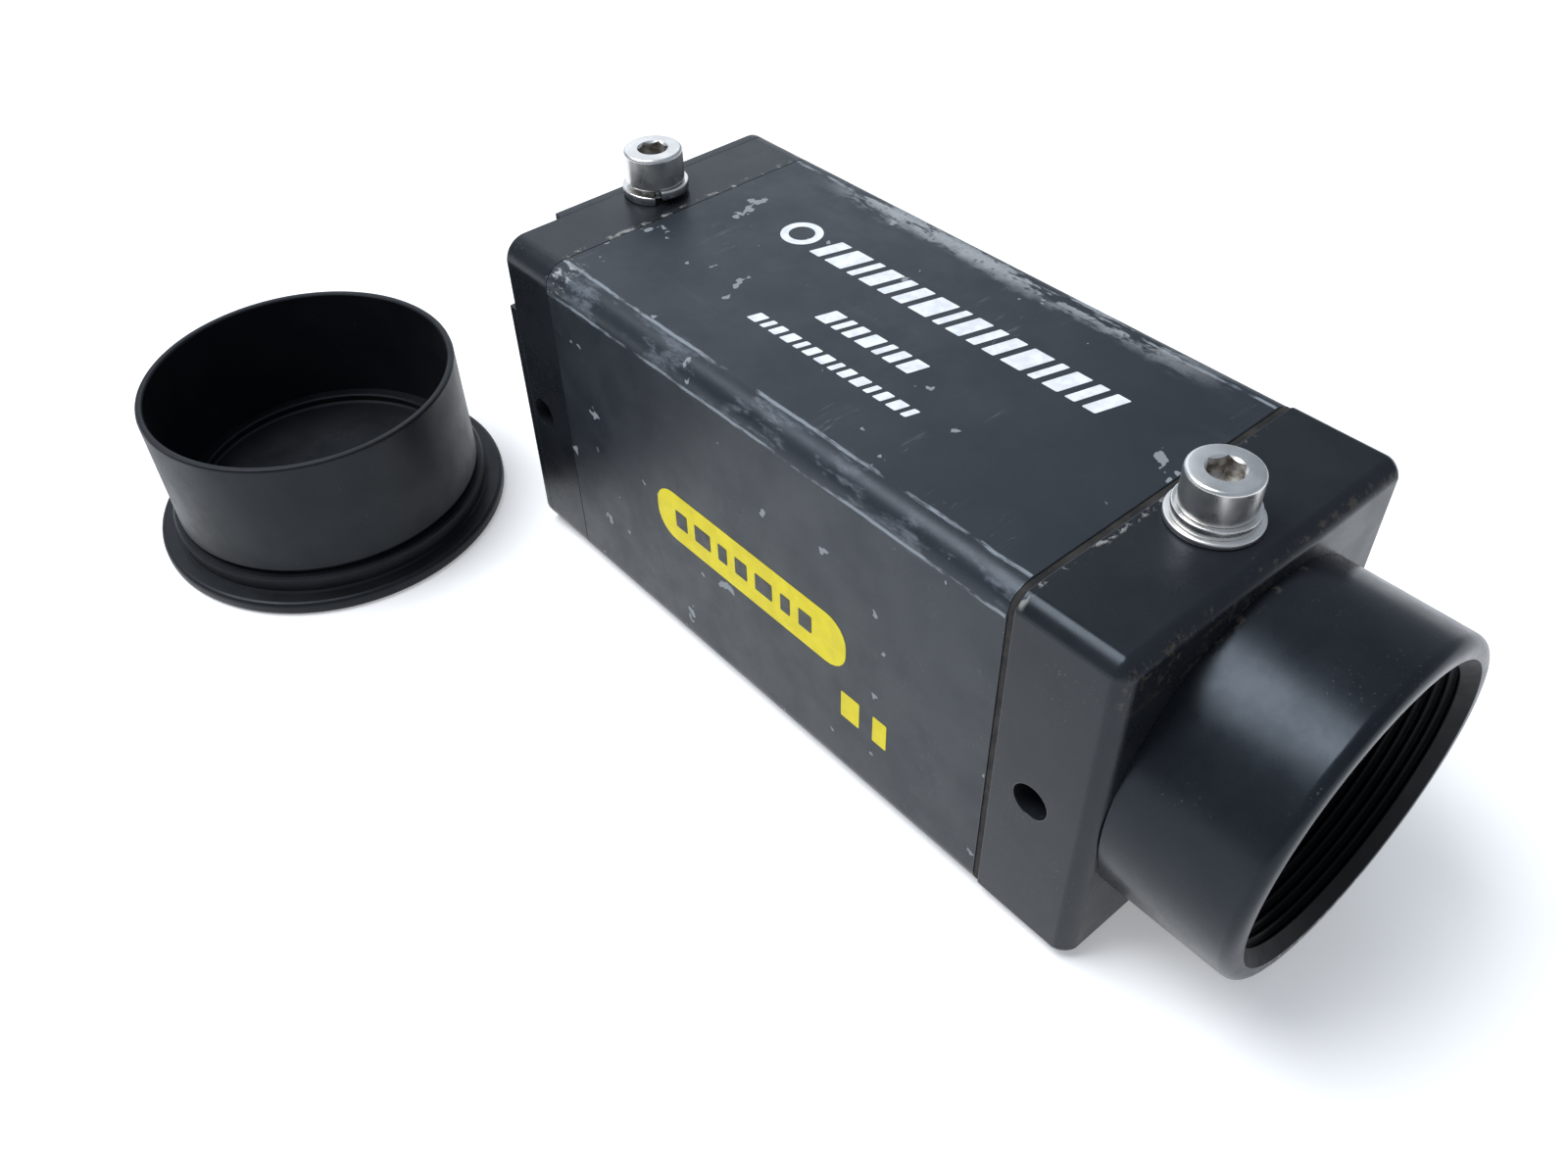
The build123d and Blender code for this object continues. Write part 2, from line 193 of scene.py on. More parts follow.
def arc(middle, radius, start, end, steps=5):
    points = []
    for i in range(steps + 1):
        angle = math.radians(start + (end - start) * i / steps)
        points.append((middle[0] + radius * math.cos(angle), middle[1] + radius * math.sin(angle)))
    return points


def threadOutline(radius, start, end, pitch, depth):
    points = []
    for i in range(int(abs(end - start) / pitch)):
        place = start + math.copysign(i * pitch, end - start)
        step = math.copysign(pitch, end - start)
        points += [(radius, place + 0.1 * step), (radius + depth, place + 0.45 * step),
                   (radius + depth, place + 0.6 * step), (radius, place + 0.95 * step)]
    return points


# a copy of a CAD node with its facets merged into whole faces

def nodeCopy(node, name):
    pickOnly(frame["nodes"][node])
    bpy.ops.object.duplicate()
    piece = bpy.context.object
    piece.name = name
    piece.data.name = name
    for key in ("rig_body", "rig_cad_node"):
        del piece[key]
    mergeDoubles(piece, recalculate=False)
    openForEditing(piece)
    bpy.ops.mesh.select_all(action="SELECT")
    bpy.ops.mesh.dissolve_limited(angle_limit=math.radians(1))
    bpy.ops.object.mode_set(mode="OBJECT")
    piece.data.materials.clear()
    return piece


# nodes

def addNode(tree, kind, values=None, **settings):
    made = tree.nodes.new("ShaderNode" + kind)
    for name, value in settings.items():
        setattr(made, name, value)
    for socket, value in (values or {}).items():
        if isinstance(value, bpy.types.NodeSocket):
            tree.links.new(value, made.inputs[socket])
        else:
            made.inputs[socket].default_value = value
    return made


def calc(tree, operation, first, second=0.0):
    return addNode(tree, "Math", {0: first, 1: second}, operation=operation).outputs[0]


def remap(tree, value, low, high, toLow=0.0, toHigh=1.0):
    return addNode(tree, "MapRange", {"Value": value, "From Min": low, "From Max": high,
                                      "To Min": toLow, "To Max": toHigh},
                   interpolation_type="SMOOTHSTEP").outputs["Result"]


def mixColours(tree, amount, first, second):
    first = first if isinstance(first, bpy.types.NodeSocket) else (*first, 1)
    second = second if isinstance(second, bpy.types.NodeSocket) else (*second, 1)
    return addNode(tree, "Mix", {0: amount, 6: first, 7: second}, data_type="RGBA").outputs[2]


def mixValues(tree, amount, first, second):
    return addNode(tree, "Mix", {0: amount, 2: first, 3: second}, data_type="FLOAT").outputs[0]


def noise(tree, place, grain, detail=3.0, rough=0.55, output=0):
    return addNode(tree, "TexNoise", {"Vector": place, "Scale": 1 / (grain * mm), "Detail": detail,
                                      "Roughness": rough}).outputs[output]


def stretched(tree, place, shares):
    return addNode(tree, "VectorMath", {0: place, 1: shares}, operation="MULTIPLY").outputs[0]


def wobbled(tree, place, grain, reach):
    push = addNode(tree, "VectorMath", {0: noise(tree, place, grain, 4.0, output=1), 1: (0.5, 0.5, 0.5)},
                   operation="SUBTRACT").outputs[0]
    scaled = addNode(tree, "VectorMath", {0: push, "Scale": reach * mm}, operation="SCALE").outputs[0]
    return addNode(tree, "VectorMath", {0: place, 1: scaled}, operation="ADD").outputs[0]


# radius and place along the axis, for marks that a lathe leaves

def latheWay(tree, place, centre, axis):
    local = addNode(tree, "VectorMath", {0: place, 1: centre}, operation="SUBTRACT").outputs[0]
    parts = addNode(tree, "SeparateXYZ", {0: local}).outputs
    across = parts[1] if axis == "Z" else parts[2]
    along = parts[2] if axis == "Z" else parts[1]
    radius = calc(tree, "SQRT", calc(tree, "ADD", calc(tree, "MULTIPLY", parts[0], parts[0]),
                                     calc(tree, "MULTIPLY", across, across)))
    return addNode(tree, "CombineXYZ", {0: radius, 1: along}).outputs[0]


# wear sits where planes of the boxes meet: 1 close to all of them, 0 beyond their reach in mm

def nearPlanes(tree, place, planes):
    parts = addNode(tree, "SeparateXYZ", {0: place}).outputs
    closeness = 1.0
    for axis, value, reach in planes:
        distance = calc(tree, "ABSOLUTE", calc(tree, "SUBTRACT", parts[axis], value))
        near = remap(tree, distance, reach * mm, reach * 0.5 * mm)
        closeness = calc(tree, "MULTIPLY", closeness, near)
    return closeness


def startMaterial(name):
    material = bpy.data.materials.new(name)
    material.use_nodes = True
    tree = material.node_tree
    shader = tree.nodes["Principled BSDF"]
    place = addNode(tree, "TexCoord").outputs["Object"]
    return material, tree, shader, place


# a plain finish: two colours in soft blotches, a roughness that wanders, a fine grain

def makeFinish(name, colour, second, roughness, spread=0.06, blotch=9.0, grain=0.25, depth=0.01,
               metallic=0.0, specular=0.5, dust=0.0, lathe=None, ior=1.5, tint=(1, 1, 1), marks=()):
    material, tree, shader, place = startMaterial(name)
    blotches = remap(tree, noise(tree, place, blotch, 5.0, 0.6), 0.36, 0.64)
    shade = mixColours(tree, blotches, colour, second)
    smudges = noise(tree, place, blotch * 0.6, 6.0, 0.65)
    rough = remap(tree, smudges, 0.3, 0.7, roughness - spread, roughness + spread)
    height = noise(tree, place, grain, 2.0)
    if lathe:
        way = latheWay(tree, place, lathe["centre"], lathe["axis"])
        rings = noise(tree, way, lathe["pitch"], 3.0, 0.7)
        height = mixValues(tree, lathe["share"], height, rings)
        shade = mixColours(tree, calc(tree, "MULTIPLY", remap(tree, rings, 0.35, 0.65), 0.25), shade, second)
    if dust:
        specks = noise(tree, place, 0.22, 2.0, 0.5)
        clouds = remap(tree, noise(tree, place, 7.0, 3.0), 0.5, 0.72)
        amount = calc(tree, "MULTIPLY", calc(tree, "MULTIPLY", remap(tree, specks, 0.66, 0.76), clouds), dust)
        shade = mixColours(tree, amount, shade, (0.32, 0.33, 0.34))
    for planes, markColour, markGrain in marks:
        area = nearPlanes(tree, wobbled(tree, place, 1.2, 0.5), planes)
        broken = remap(tree, noise(tree, place, markGrain, 4.0, 0.7), 0.54, 0.62)
        shade = mixColours(tree, calc(tree, "MULTIPLY", area, broken), shade, markColour)
    bump = addNode(tree, "Bump", {"Height": height, "Strength": 0.6, "Distance": depth * mm})
    tree.links.new(shade, shader.inputs["Base Color"])
    tree.links.new(rough, shader.inputs["Roughness"])
    tree.links.new(bump.outputs[0], shader.inputs["Normal"])
    shader.inputs["Metallic"].default_value = metallic
    shader.inputs["Specular IOR Level"].default_value = specular
    shader.inputs["IOR"].default_value = ior
    shader.inputs["Specular Tint"].default_value = (*tint, 1)
    return material


# finishes of the two end blocks, the barrel and the small parts

anodisedLook = {"colour": (0.0090, 0.0104, 0.0128), "second": (0.0125, 0.0143, 0.0172), "roughness": 0.29,
                "spread": 0.05, "blotch": 6.0, "grain": 0.12, "depth": 0.005, "specular": 0.30, "dust": 0.35,
                "tint": (0.78, 0.88, 1.0)}
rubbedLook = {"colour": (0.0090, 0.0110, 0.0140), "second": (0.0150, 0.0180, 0.0220), "roughness": 0.29,
              "spread": 0.06, "blotch": 1.6, "grain": 0.2, "depth": 0.005, "specular": 0.5,
              "tint": (0.78, 0.88, 1.0)}
paleWear = (0.24, 0.235, 0.22)
brownGrime = (0.050, 0.042, 0.032)


# pale chips along the upper edge of each seam, grime where the barrel enters the block

def seamMarks(node, seam):
    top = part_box(node)[1].z
    return ([(1, seam, 0.7), (2, top, 1.2)], paleWear, 1.4)


def seatGrime(reach):
    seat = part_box("front_block")[0].y
    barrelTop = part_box("lens_barrel")[1].z
    return ([(1, seat, 0.9), (2, barrelTop, reach)], brownGrime, 0.9)


frontMarks = [seamMarks("front_block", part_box("front_gasket")[0].y), seatGrime(3.0)]
rearMarks = [seamMarks("rear_block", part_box("body_sleeve")[1].y)]
anodised = makeFinish("anodisedBlack", **anodisedLook)
frontAnodised = makeFinish("frontAnodised", marks=frontMarks, **anodisedLook)
rearAnodised = makeFinish("rearAnodised", marks=rearMarks, **anodisedLook)
rubbed = makeFinish("anodisedRubbed", **rubbedLook)
gasketRubber = makeFinish("gasketRubber", (0.011, 0.011, 0.011), (0.030, 0.027, 0.024), 0.7, blotch=2.2,
                          grain=0.3, depth=0.02, specular=0.25, dust=0.9)

print("helpers and first finishes ready")


# front block: a chamfered block with the barrel's seat, mounting holes and the sensor's pocket

frontBlockLook = {
    "chamfer": 1.4,
    "chamferProfile": 0.4,    # 0.25 is flat, 0.5 is round
    "softening": 0.12,
    "spigotInset": 2.1,
    "seatRadius": 12.53,
    "seatDepth": 3.5,
    "apertureRadius": 8.5,
    "pocketWidth": 20.4,
    "webBack": 4.5,
    "holeRadius": 1.55,
    "holeStation": 5.6,
    "sideHoleHeight": 15.6,
    "sideHoleDepth": 4.5,
    "topHoleDepth": 5.8,
    "baseHoleDepth": 5.2,
    "screwHoleRadius": 1.03,
    "screwInset": 4.2,
    "screwTip": 4.5,
}


def makeFrontBlock(look):
    low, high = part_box("front_block")
    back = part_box("front_gasket")[0].y
    axisHeight = (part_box("lens_barrel")[0].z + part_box("lens_barrel")[1].z) / 2
    piece = boxPiece("frontBlock", low, Vector((high.x, back, high.z)))
    openForEditing(piece, "FACE")
    choose(piece, "faces", lambda face: lies(face, 1, back))
    bpy.ops.mesh.inset(thickness=look["spigotInset"] * mm)
    bpy.ops.mesh.extrude_region_move(TRANSFORM_OT_translate={"value": (0, high.y - back, 0)})
    bpy.ops.mesh.select_mode(type="EDGE")
    bpy.ops.mesh.select_all(action="DESELECT")
    choose(piece, "edges", lambda edge: lies(edge, 1, low.y) or (
        isAlong(edge, 1) and abs(edge.verts[0].co.x) > high.x - hair))
    bpy.ops.mesh.bevel(offset=look["chamfer"] * mm, segments=6, profile=look["chamferProfile"])
    bpy.ops.object.mode_set(mode="OBJECT")
    axis = Vector((0, low.y, axisHeight))
    ahead = Vector((0, mm, 0))
    cutAway(piece, rodPiece("seat", look["seatRadius"] * mm, axis - ahead,
                            axis + look["seatDepth"] * ahead, 128))
    cutAway(piece, rodPiece("aperture", look["apertureRadius"] * mm, axis - ahead,
                            axis + (look["webBack"] + 1) * ahead, 96))
    half = look["pocketWidth"] / 2 * mm
    pocketLow = Vector((-half, low.y + look["webBack"] * mm, axisHeight - half))
    cutAway(piece, boxPiece("pocket", pocketLow, Vector((half, high.y + mm, axisHeight + half))))
    drillMountingHoles(piece, low, high, low.y + look["holeStation"] * mm, look)
    for x in (low.x + look["screwInset"] * mm, high.x - look["screwInset"] * mm):
        for z in (low.z + look["screwInset"] * mm, high.z - look["screwInset"] * mm):
            cutAway(piece, rodPiece("screwHole", look["screwHoleRadius"] * mm,
                                    Vector((x, low.y + look["screwTip"] * mm, z)),
                                    Vector((x, high.y + mm, z)), 32))
    finishMetal(piece, look["softening"], frontAnodised, rubbed)
    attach(piece, "camera")
    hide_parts("front_block")
    return piece


def drillMountingHoles(piece, low, high, y, look):
    up = Vector((0, 0, mm))
    side = Vector((mm, 0, 0))
    height = look["sideHoleHeight"] * mm
    ends = [
        (Vector((0, y, high.z)) + up, Vector((0, y, high.z)) - look["topHoleDepth"] * up),
        (Vector((0, y, low.z)) - up, Vector((0, y, low.z)) + look["baseHoleDepth"] * up),
        (Vector((low.x, y, height)) - side, Vector((low.x, y, height)) + look["sideHoleDepth"] * side),
        (Vector((high.x, y, height)) + side, Vector((high.x, y, height)) - look["sideHoleDepth"] * side),
    ]
    for start, end in ends:
        cutAway(piece, rodPiece("hole", look["holeRadius"] * mm, start, end, 48))


def finishMetal(piece, softening, main, edge, angle=35):
    piece.data.materials.clear()
    piece.data.materials.append(main)
    piece.data.materials.append(edge)
    softenEdges(piece, softening, rubbed=1)
    smoothShading(piece, angle)


makeFrontBlock(frontBlockLook)
print("front block made")


# lens barrel, turned, with the rings of its thread

barrelLook = {
    "lipRound": 1.0,
    "mouthRadius": 13.3,
    "leadIn": 1.0,
    "threadRadius": 12.3,
    "threadDepth": 5.4,
    "threadPitch": 0.794,
    "threadHeight": 0.42,
    "boreRadius": 11.0,
    "steps": 144,
    "softening": 0.06,
}


def makeLensBarrel(look):
    low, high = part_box("lens_barrel")
    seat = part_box("front_block")[0].y
    radius = (high.x - low.x) / 2 / mm
    centre = Vector((0, low.y, (low.z + high.z) / 2))
    seatPlace = (seat - low.y) / mm
    end = (high.y - low.y) / mm
    spigot = look["boreRadius"] + 1.5
    lip = look["lipRound"]
    outline = [(radius, seatPlace)]
    outline += arc((radius - lip, lip), lip, 0, -90, 7)
    outline += [(look["mouthRadius"], 0), (look["threadRadius"], look["leadIn"])]
    outline += threadOutline(look["threadRadius"], look["leadIn"], look["threadDepth"],
                             look["threadPitch"], look["threadHeight"])
    outline += [(look["threadRadius"], look["threadDepth"]), (look["boreRadius"], look["threadDepth"]),
                (look["boreRadius"], end), (spigot, end), (spigot, seatPlace), (radius, seatPlace)]
    piece = turnedPiece("lensBarrel", centre, outline, axis="Y", steps=look["steps"])
    way = {"centre": centre, "axis": "Y", "pitch": 0.35, "share": 0.75}
    flecks = ([(1, low.y, 0.9), (2, low.z, 6.0)], (0.42, 0.42, 0.38), 0.8)
    coat = makeFinish("barrelAnodised", (0.0060, 0.0070, 0.0088), (0.0090, 0.0106, 0.0130), 0.27, spread=0.05,
                      blotch=5.0, grain=0.12, depth=0.003, specular=0.30, dust=0.2, lathe=way,
                      tint=(0.74, 0.86, 1.0), marks=[flecks, seatGrime(3.0)])
    # the bore and thread inside the mouth get a darker black than the outside: painted shade of the recess,
    # also rougher and less glossy
    inside = makeFinish("boreBlack", (0.0030, 0.0032, 0.0036), (0.0050, 0.0052, 0.0058), 0.5, spread=0.06,
                        blotch=4.0, grain=0.15, depth=0.004, specular=0.16, lathe=way)
    finishMetal(piece, look["softening"], coat, rubbed, angle=28)
    piece.data.materials.append(inside)
    depth = low.y + 0.1 * mm
    reach = (look["mouthRadius"] - 0.1) * mm
    paintFaces(piece, 2, lambda middle: (middle - centre).xz.length < reach and middle.y > depth)
    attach(piece, "camera")
    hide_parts("lens_barrel")
    return piece


makeLensBarrel(barrelLook)
print("lens barrel made")


# sleeve and gasket: folded tubes with rounded long edges

def tubePiece(name, low, high, wall, longRound, steps=8):
    piece = boxPiece(name, low, high)
    openForEditing(piece, "EDGE")
    choose(piece, "edges", lambda edge: isAlong(edge, 1))
    bpy.ops.mesh.bevel(offset=longRound * mm, segments=steps)
    bpy.ops.mesh.select_mode(type="FACE")
    bpy.ops.mesh.select_all(action="DESELECT")
    choose(piece, "faces", lambda face: lies(face, 1, low.y) or lies(face, 1, high.y))
    bpy.ops.mesh.delete(type="ONLY_FACE")
    bpy.ops.object.mode_set(mode="OBJECT")
    applyModifier(piece, "SOLIDIFY", thickness=wall * mm, offset=-1, use_even_offset=True)
    return piece


sleeveLook = {
    "wall": 2.0,
    "longRound": 2.2,
    "softening": 0.12,
    "colour": (0.0135, 0.0165, 0.0210),
    "second": (0.0180, 0.0215, 0.0270),
    "tint": (0.80, 0.90, 1.0),
    "roughness": 0.40,
    "spread": 0.07,
    "grain": 0.16,
    "grainDepth": 0.012,
    "bareMetal": (0.36, 0.37, 0.375),
    "flaked": (0.225, 0.240, 0.255),
    "scuffed": (0.095, 0.108, 0.125),
    "lines": (0.21, 0.235, 0.26),
    "bareReach": 4.6,       # wear, in mm from the upper edges
    "scuffReach": 2.8,
    "cornerReach": 3.6,
    "lineReach": 0.22,
    "bareShare": 0.46,      # of the length, each way from the middle
}


# far upper edge bare, near upper edge scuffed, thin lines where flat faces run into the round

def sleeveWear(tree, place, look):
    low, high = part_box("body_sleeve")
    middle = (low.y + high.y) / 2
    half = (high.y - low.y) / mm * look["bareShare"]
    inset = look["longRound"] * mm
    ragged = wobbled(tree, place, 1.7, 1.8)
    farEdge = nearPlanes(tree, ragged, [(0, high.x, look["bareReach"]), (2, high.z, look["bareReach"]),
                                        (1, middle, half)])
    corner = nearPlanes(tree, ragged, [(0, low.x, look["cornerReach"]), (2, high.z, look["scuffReach"]),
                                       (1, high.y, look["cornerReach"])])
    nearEdge = nearPlanes(tree, ragged, [(0, low.x, look["scuffReach"]), (2, high.z, look["scuffReach"])])
    steady = wobbled(tree, place, 3.0, 0.4)
    lines = None
    for across, up in ((low.x + inset, high.z), (low.x, high.z - inset), (high.x - inset, high.z)):
        line = nearPlanes(tree, steady, [(0, across, look["lineReach"]), (2, up, look["lineReach"])])
        lines = line if lines is None else calc(tree, "MAXIMUM", lines, line)
    return farEdge, corner, nearEdge, lines


def makeSleeveCoat(look):
    material, tree, shader, place = startMaterial("sleeveCoat")
    blotches = remap(tree, noise(tree, place, 11.0, 5.0, 0.6), 0.35, 0.65)
    tint = mixColours(tree, blotches, look["colour"], look["second"])
    smears = noise(tree, stretched(tree, place, (1.0, 0.25, 1.0)), 4.0, 6.0, 0.7)
    tint = mixColours(tree, remap(tree, smears, 0.56, 0.78, 0.0, 0.35), tint, (0.045, 0.048, 0.052))
    scuffNoise = noise(tree, stretched(tree, place, (1.0, 0.35, 1.0)), 0.5, 5.0, 0.7)
    farEdge, corner, nearEdge, lines = sleeveWear(tree, place, look)
    long = noise(tree, stretched(tree, place, (1.0, 0.3, 1.0)), 2.2, 4.0, 0.7)
    scuffed = calc(tree, "MULTIPLY", calc(tree, "MULTIPLY", nearEdge, remap(tree, long, 0.48, 0.60)),
                   remap(tree, scuffNoise, 0.36, 0.60, 0.15, 1.0))
    lined = calc(tree, "MULTIPLY", lines, remap(tree, long, 0.40, 0.54))
    flaked = remap(tree, noise(tree, place, 3.2, 3.0, 0.6), 0.68, 0.695)
    bareArea = calc(tree, "MAXIMUM", calc(tree, "MULTIPLY", farEdge, remap(tree, long, 0.44, 0.52)),
                    calc(tree, "MULTIPLY", corner, remap(tree, scuffNoise, 0.52, 0.58)))
    pits = remap(tree, noise(tree, place, 0.5, 4.0, 0.7), 0.32, 0.46, 0.25, 1.0)
    bare = calc(tree, "MULTIPLY", bareArea, pits)
    scratches = noise(tree, stretched(tree, place, (0.08, 1.6, 1.0)), 1.2, 2.0, 0.4)
    ridge = calc(tree, "ABSOLUTE", calc(tree, "SUBTRACT", scratches, 0.5))
    hairlines = calc(tree, "MULTIPLY", remap(tree, ridge, 0.006, 0.0015),
                     remap(tree, noise(tree, place, 6.0, 2.0), 0.56, 0.66, 0.0, 0.5))
    tint = mixColours(tree, hairlines, tint, (0.10, 0.11, 0.12))
    tint = mixColours(tree, scuffed, tint, look["scuffed"])
    tint = mixColours(tree, lined, tint, look["lines"])
    tint = mixColours(tree, flaked, tint, look["flaked"])
    tint = mixColours(tree, bare, tint, look["bareMetal"])
    worn = calc(tree, "MAXIMUM", flaked, bare)
    roughNoise = noise(tree, place, 5.0, 6.0, 0.65)
    rough = remap(tree, roughNoise, 0.3, 0.7, look["roughness"] - look["spread"],
                  look["roughness"] + look["spread"])
    rough = mixValues(tree, calc(tree, "MAXIMUM", worn, scuffed), rough, 0.5)
    metal = mixValues(tree, bare, 0.0, 0.6)
    grain = noise(tree, place, look["grain"], 2.0)
    fineBump = addNode(tree, "Bump", {"Height": grain, "Strength": 0.6, "Distance": look["grainDepth"] * mm})
    lost = calc(tree, "SUBTRACT", 1.0, worn)    # scuffs left out: the shader's stack has room for no more
    stepBump = addNode(tree, "Bump", {"Height": lost, "Strength": 0.9, "Distance": 0.05 * mm,
                                      "Normal": fineBump.outputs[0]})
    tree.links.new(tint, shader.inputs["Base Color"])
    tree.links.new(rough, shader.inputs["Roughness"])
    tree.links.new(metal, shader.inputs["Metallic"])
    tree.links.new(stepBump.outputs[0], shader.inputs["Normal"])
    shader.inputs["Specular IOR Level"].default_value = 0.37
    shader.inputs["Specular Tint"].default_value = (*look["tint"], 1)
    return material


def makeSleeve(look):
    low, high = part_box("body_sleeve")
    piece = tubePiece("bodySleeve", low, high, look["wall"], look["longRound"], 10)
    coat = makeSleeveCoat(look)
    finishMetal(piece, look["softening"], coat, rubbed)
    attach(piece, "camera")
    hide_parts("body_sleeve")
    return piece


gasketLook = {"wall": 1.9, "longRound": 1.8, "softening": 0.05}


def makeGasket(look):
    low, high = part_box("front_gasket")
    piece = tubePiece("frontGasket", low, high, look["wall"], look["longRound"])
    piece.data.materials.append(gasketRubber)
    softenEdges(piece, look["softening"])
    smoothShading(piece)
    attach(piece, "camera")
    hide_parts("front_gasket")


makeSleeve(sleeveLook)
makeGasket(gasketLook)
print("sleeve and gasket made")


# rear block and rear cover

rearLook = {"blockSoftening": 0.10, "coverSoftening": 0.12}


def makeRearEnd(look):
    for node, name, width in (("rear_block", "rearBlock", look["blockSoftening"]),
                              ("rear_cover", "rearCover", look["coverSoftening"])):
        piece = nodeCopy(node, name)
        finishMetal(piece, width, rearAnodised if node == "rear_block" else anodised, rubbed)
        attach(piece, "camera")
        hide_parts(node)


makeRearEnd(rearLook)
print("rear end made")


# mounting screws: turned head with a hexagonal socket, threaded shank

screwLook = {
    "headRadius": 2.75,
    "headHeight": 3.0,
    "headRound": 0.32,
    "underRound": 0.12,
    "socketWidth": 2.5,
    "socketDepth": 1.6,
    "socketChamfer": 0.12,
    "shankRadius": 1.5,
    "threadPitch": 0.5,
    "threadDepth": 0.27,
    "tipChamfer": 0.3,
    "steps": 72,
    "steel": (0.78, 0.77, 0.75),
    "steelShade": (0.64, 0.63, 0.61),
    # socket colour: partly grime, partly painted shade of the deep hex recess
    "socketGrime": (0.16, 0.13, 0.10),
}


def makeSteel(name, centre, look, roughness=0.31):
    way = {"centre": centre, "axis": "Z", "pitch": 0.14, "share": 0.85}
    return makeFinish(name, look["steel"], look["steelShade"], roughness, spread=0.05, blotch=3.0, grain=0.1,
                      depth=0.0012, metallic=1.0, specular=0.5, lathe=way)


def makeScrew(node, name, body, look):
    low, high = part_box(node)
    centre = Vector(((low.x + high.x) / 2, (low.y + high.y) / 2, low.z))
    top = (high.z - low.z) / mm
    seat = top - look["headHeight"]
    radius = look["headRadius"]
    bend = look["headRound"]
    outline = [(0, top)]
    outline += arc((radius - bend, top - bend), bend, 90, 0, 5)
    outline += arc((radius - look["underRound"], seat + look["underRound"]), look["underRound"], 0, -90, 2)
    outline += [(look["shankRadius"] + 0.05, seat)]
    crest = look["shankRadius"]
    for i in range(int((seat - look["tipChamfer"]) / look["threadPitch"])):
        place = seat - 0.1 - i * look["threadPitch"]
        outline += [(crest, place), (crest - look["threadDepth"], place - 0.25), (crest, place - 0.45)]
    outline += [(crest - look["tipChamfer"], 0), (0, 0)]
    piece = turnedPiece(name, centre, outline, steps=look["steps"])
    axis = Vector((centre.x, centre.y, high.z))
    up = Vector((0, 0, mm))
    cornerRadius = look["socketWidth"] / 2 / math.cos(math.pi / 6) * mm
    cutAway(piece, rodPiece("socket", cornerRadius, axis + up, axis - look["socketDepth"] * up, 6))
    pickOnly()
    chamfer = look["socketChamfer"] * mm
    drop = (cornerRadius - chamfer) / 2 * up / mm
    bpy.ops.mesh.primitive_cone_add(vertices=48, radius1=0, radius2=cornerRadius + chamfer,
                                    depth=cornerRadius + chamfer, location=axis - drop)
    cutAway(piece, newPiece("countersink"))
    piece.data.materials.clear()
    piece.data.materials.append(makeSteel(name + "Steel", centre, look))
    # the socket's faces get a dark brown finish: partly grime, partly painted shade of the recess
    piece.data.materials.append(makeFinish(name + "Socket", look["socketGrime"], look["steelShade"], 0.5,
                                           blotch=1.1, grain=0.12, depth=0.006, metallic=0.9))
    softenEdges(piece, 0.03, steps=1, angle=50)
    floor = high.z - (look["socketDepth"] + 0.3) * mm
    rim = high.z - 0.1 * mm
    reach = cornerRadius * 1.02
    paintFaces(piece, 1, lambda middle: (middle - centre).xy.length < reach and floor < middle.z < rim)
    smoothShading(piece, 30)
    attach(piece, body)
    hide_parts(node)


makeScrew("front_screw", "frontScrew", "front_screw", screwLook)
makeScrew("rear_screw", "rearScrew", "rear_screw", screwLook)

washerLook = {"innerRadius": 1.6, "flatRound": 0.14, "lockSoftening": 0.12}


def makeFlatWasher(look):
    low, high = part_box("front_flat_washer")
    centre = Vector(((low.x + high.x) / 2, (low.y + high.y) / 2, low.z))
    outer = (high.x - low.x) / 2 / mm
    inner = look["innerRadius"]
    thick = (high.z - low.z) / mm
    bend = look["flatRound"]
    outline = arc((outer - bend, thick - bend), bend, 90, 0, 3) + arc((outer - bend, bend), bend, 0, -90, 3)
    outline += arc((inner + bend, bend), bend, 270, 180, 3)
    outline += arc((inner + bend, thick - bend), bend, 180, 90, 3)
    outline += [outline[0]]
    piece = turnedPiece("frontFlatWasher", centre, outline, steps=72)
    piece.data.materials.append(makeSteel("flatWasherSteel", centre, screwLook, 0.34))
    smoothShading(piece)
    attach(piece, "front_washers")
    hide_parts("front_flat_washer")


def makeLockWasher(node, name, body, look):
    low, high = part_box(node)
    centre = Vector((0, (low.y + high.y) / 2, low.z))
    piece = nodeCopy(node, name)
    piece.data.materials.append(makeSteel(name + "Steel", centre, screwLook, 0.27))
    softenEdges(piece, look["lockSoftening"], steps=3, angle=50)
    smoothShading(piece)
    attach(piece, body)
    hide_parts(node)


makeFlatWasher(washerLook)
makeLockWasher("front_lock_washer", "frontLockWasher", "front_washers", washerLook)
makeLockWasher("rear_lock_washer", "rearLockWasher", "rear_washer", washerLook)
print("screws and washers made")


# dust cap, moulded: flange, stepped ring, groove, thin tube and an inner ledge

capLook = {
    "innerRadius": 15.0,
    "wall": 0.78,
    "flangeThickness": 1.5,
    "flangeRound": 0.5,
    "ringWidth": 0.62,
    "ringTop": 3.4,
    "grooveDepth": 0.35,
    "grooveWidth": 0.5,
    "floor": 3.0,
    "ledgeWidth": 1.2,
    "ledgeHeight": 1.0,
    "rimRound": 0.3,
    "steps": 144,
    "colour": (0.0062, 0.0070, 0.0084),
    "second": (0.0095, 0.0105, 0.0125),
}


